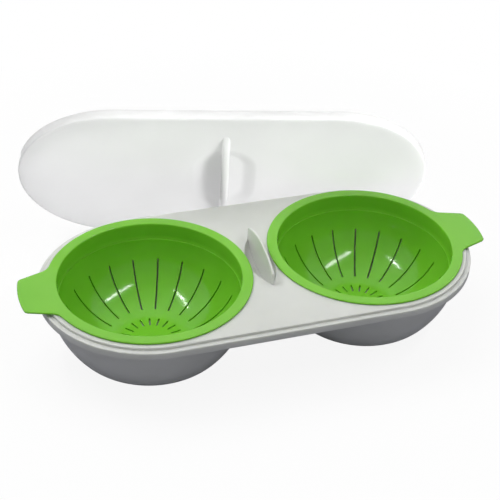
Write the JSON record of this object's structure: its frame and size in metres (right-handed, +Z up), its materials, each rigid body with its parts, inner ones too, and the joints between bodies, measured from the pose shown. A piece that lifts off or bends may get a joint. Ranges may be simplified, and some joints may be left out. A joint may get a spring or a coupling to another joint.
{
  "type": "microwave egg cooker",
  "caption": "Long white tray with bowls that hold green strainer cups for eggs, and a frosted lid leaning on its back edge.",
  "frame": {"origin": "on the table, under the middle of the set's bounding box seen from above", "axes": "+X along the tray towards the right cup's handle, +Y towards the back, where the lid leans, +Z up"},
  "size_m": [0.262, 0.1804, 0.1099],
  "materials": {
    "tray_white": "satin white polypropylene",
    "cup_green": "glossy leaf-green polypropylene",
    "lid_frosted": "frosted milky polypropylene"
  },
  "bodies": {
    "root": {"tray": "tray_white", "left_cup": "cup_green", "right_cup": "cup_green", "lid": "lid_frosted"}
  },
  "joints": []
}
